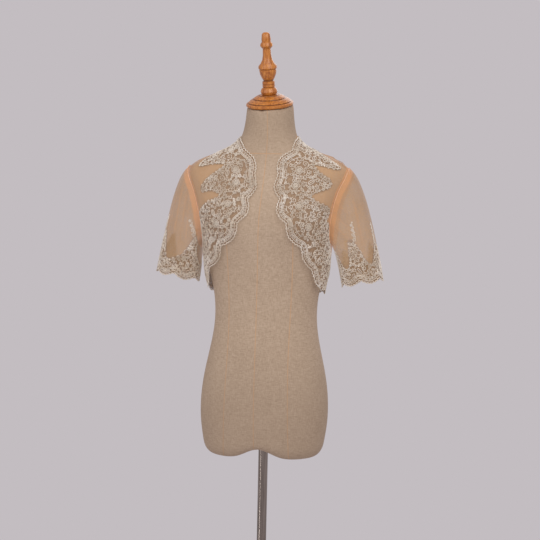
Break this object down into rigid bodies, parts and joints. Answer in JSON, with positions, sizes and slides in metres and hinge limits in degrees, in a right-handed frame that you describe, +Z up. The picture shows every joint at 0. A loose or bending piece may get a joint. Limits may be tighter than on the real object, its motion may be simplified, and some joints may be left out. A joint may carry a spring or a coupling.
{
  "type": "bolero jacket on a limbless dress form with stand",
  "caption": "Short open-fronted jacket of sheer tulle with scalloped lace borders, set on a linen dress form with a wooden neck cap and finial, on a pole with a round foot plate.",
  "frame": {"origin": "the middle of the foot plate's underside, on the pole's axis", "axes": "+Z up along the pole, -Y to the wearer's front, +X to the wearer's left"},
  "size_m": [0.5301, 0.32, 1.6674],
  "materials": {
    "tulle": "sheer peach tulle",
    "lace": "corded lace",
    "linen": "plain linen weave",
    "wood": "varnished, turned",
    "chrome": "polished",
    "steel": "satin"
  },
  "bodies": {
    "root": {"form_torso": "linen", "neck_cap": "wood", "finial": "wood", "foot_plate": "steel", "pole_collar": "chrome", "pole": "chrome", "back": "tulle", "front_left": "tulle", "front_right": "tulle", "sleeve_left": "tulle", "sleeve_right": "tulle", "lace_front_left": "lace", "lace_front_right": "lace", "lace_back_neck": "lace", "lace_back_hem": "lace", "lace_sleeve_left_front": "lace", "lace_sleeve_left_back": "lace", "lace_sleeve_right_front": "lace", "lace_sleeve_right_back": "lace"}
  },
  "joints": []
}
